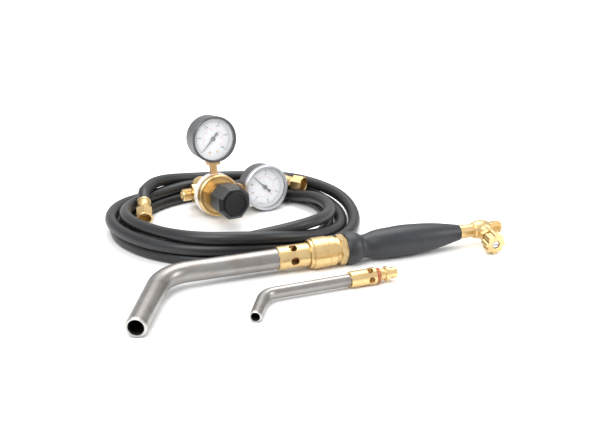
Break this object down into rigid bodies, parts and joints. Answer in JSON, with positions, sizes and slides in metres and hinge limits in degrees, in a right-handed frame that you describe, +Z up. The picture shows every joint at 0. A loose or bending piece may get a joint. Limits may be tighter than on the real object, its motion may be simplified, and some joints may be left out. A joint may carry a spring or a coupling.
{
  "type": "gas torch outfit",
  "caption": "Air-fuel hand torch kit: bent burner tip in a quick coupler, spare tip, grip with brass needle valve, coiled hose with swivel nuts, two-gauge pressure regulator",
  "frame": {"origin": "centre of the bottom of the kit without its hose, on the floor that it lies on", "axes": "+X from the burner end of the torch to its gas inlet, +Y from the torch towards the regulator, +Z up"},
  "size_m": [0.4472, 0.3637, 0.1216],
  "materials": {
    "brass": "satin machined brass",
    "steel": "machined steel",
    "tube_steel": "brushed stainless tube, lightly heat tinted",
    "grip_rubber": "smooth satin black grip",
    "hose_rubber": "satin black hose",
    "seal_rubber": "black seal rubber",
    "o_ring": "red-brown O-ring",
    "label_foil": "plain pale band",
    "black_plastic": "satin black moulding",
    "filter_bronze": "sintered bronze",
    "gauge_black": "black enamel",
    "gauge_rim": "bright plated rim",
    "clear_lens": "clear window",
    "dial_white": "white dial, printed",
    "pointer_black": "black pointer"
  },
  "bodies": {
    "handpiece": {"grip": "grip_rubber", "handle_tube": "brass", "coupler_body": "brass", "coupler_balls": "steel", "coupler_spring": "steel", "coupler_lock_nut": "brass", "valve_body": "brass", "valve_packing": "seal_rubber", "packing_nut": "brass"},
    "coupler_sleeve": {"coupler_sleeve": "brass"},
    "main_tip": {"main_tip_tube": "tube_steel", "main_tip_mixer": "brass", "main_tip_plug": "brass", "main_tip_seal": "o_ring", "main_tip_jet": "brass", "main_tip_swirler": "brass"},
    "valve_spindle": {"valve_stem": "brass"},
    "valve_handle": {"valve_knob": "brass", "knob_screw": "steel"},
    "spare_tip": {"spare_tip_tube": "tube_steel", "spare_tip_mixer": "brass", "spare_tip_plug": "brass", "spare_tip_seal": "o_ring", "spare_tip_jet": "brass", "spare_tip_swirler": "brass"},
    "regulator": {"regulator_body": "brass", "regulator_label_band": "label_foil", "bonnet": "brass", "diaphragm": "seal_rubber", "diaphragm_plate": "steel", "adjusting_spring": "steel", "seat_nozzle": "brass", "poppet": "steel", "poppet_spring": "steel", "outlet_fitting": "brass", "inlet_stem": "brass", "inlet_filter": "filter_bronze", "cylinder_gauge_case": "gauge_black", "cylinder_gauge_bezel": "gauge_black", "cylinder_gauge_lens": "clear_lens", "cylinder_gauge_dial": "dial_white", "cylinder_gauge_movement": "brass", "delivery_gauge_case": "gauge_black", "delivery_gauge_bezel": "gauge_rim", "delivery_gauge_lens": "clear_lens", "delivery_gauge_dial": "dial_white", "delivery_gauge_movement": "brass"},
    "pressure_screw": {"adjusting_screw": "steel", "spring_button": "steel"},
    "pressure_knob": {"adjusting_knob": "black_plastic"},
    "cylinder_pointer": {"cylinder_gauge_pointer": "pointer_black"},
    "delivery_pointer": {"delivery_gauge_pointer": "pointer_black"},
    "cylinder_nut": {"inlet_nut": "brass"},
    "hose": {"hose_coil": "hose_rubber", "hose_tail_a": "hose_rubber", "hose_tail_b": "hose_rubber", "hose_ferrule_a": "brass", "hose_ferrule_b": "brass"},
    "hose_nut_a": {"hose_nut_a": "brass"},
    "hose_nut_b": {"hose_nut_b": "brass"}
  },
  "joints": [
    {"name": "sleeve_pull", "type": "slide", "parent": "handpiece", "child": "coupler_sleeve", "axis": [1, 0, 0], "range_m": [0, 0.004], "stiffness_N_per_m": 900, "springref_m": -0.004},
    {"name": "tip_swivel", "type": "hinge", "parent": "handpiece", "child": "main_tip", "pos_m": [0.00264, -0.06518, 0.0173], "axis": [1, 0, 0], "continuous": true},
    {"name": "valve_lift", "type": "slide", "parent": "handpiece", "child": "valve_spindle", "axis": [0, -0.9914, -0.1305], "range_m": [0, 0.003]},
    {"name": "valve_turn", "type": "hinge", "parent": "valve_spindle", "child": "valve_handle", "pos_m": [0.19964, -0.09492, 0.01338], "axis": [0, -0.9914, -0.1305], "range_deg": [0, 1080]},
    {"name": "spare_tip_lift", "type": "slide", "parent": "handpiece", "child": "spare_tip", "axis": [0, 0, 1], "range_m": [0, 0.15]},
    {"name": "regulator_lift", "type": "slide", "parent": "handpiece", "child": "regulator", "axis": [0, 0, 1], "range_m": [0, 0.15]},
    {"name": "pressure_lift", "type": "slide", "parent": "regulator", "child": "pressure_screw", "axis": [-0.0863, 0.9865, -0.1392], "range_m": [0, 0.0035]},
    {"name": "pressure_turn", "type": "hinge", "parent": "pressure_screw", "child": "pressure_knob", "pos_m": [-0.04591, 0.07286, 0.03422], "axis": [-0.0863, 0.9865, -0.1392], "range_deg": [0, 1008]},
    {"name": "cylinder_needle", "type": "hinge", "parent": "regulator", "child": "cylinder_pointer", "pos_m": [-0.05089, 0.12986, 0.09283], "axis": [-0.0863, 0.9865, -0.1392], "range_deg": [0, 270]},
    {"name": "delivery_needle", "type": "hinge", "parent": "regulator", "child": "delivery_pointer", "pos_m": [0.01067, 0.12602, 0.02747], "axis": [-0.0863, 0.9865, -0.1392], "range_deg": [0, 270]},
    {"name": "cylinder_nut_turn", "type": "hinge", "parent": "regulator", "child": "cylinder_nut", "pos_m": [-0.05324, 0.15671, 0.02239], "axis": [-0.0863, 0.9865, -0.1392], "continuous": true},
    {"name": "hose_lift", "type": "slide", "parent": "handpiece", "child": "hose", "axis": [0, 0, 1], "range_m": [0, 0.15]},
    {"name": "hose_nut_a_turn", "type": "hinge", "parent": "hose", "child": "hose_nut_a", "pos_m": [-0.13936, 0.10432, 0.014], "axis": [-0.2001, -0.8803, -0.4302], "continuous": true},
    {"name": "hose_nut_b_turn", "type": "hinge", "parent": "hose", "child": "hose_nut_b", "pos_m": [0.06264, 0.12632, 0.0225], "axis": [0.6429, -0.7659, 0], "continuous": true}
  ],
  "couplings": [
    {"joint": "valve_turn", "follows": "valve_lift", "rad_per_m": 6283.2},
    {"joint": "pressure_turn", "follows": "pressure_lift", "rad_per_m": 5026.6}
  ]
}
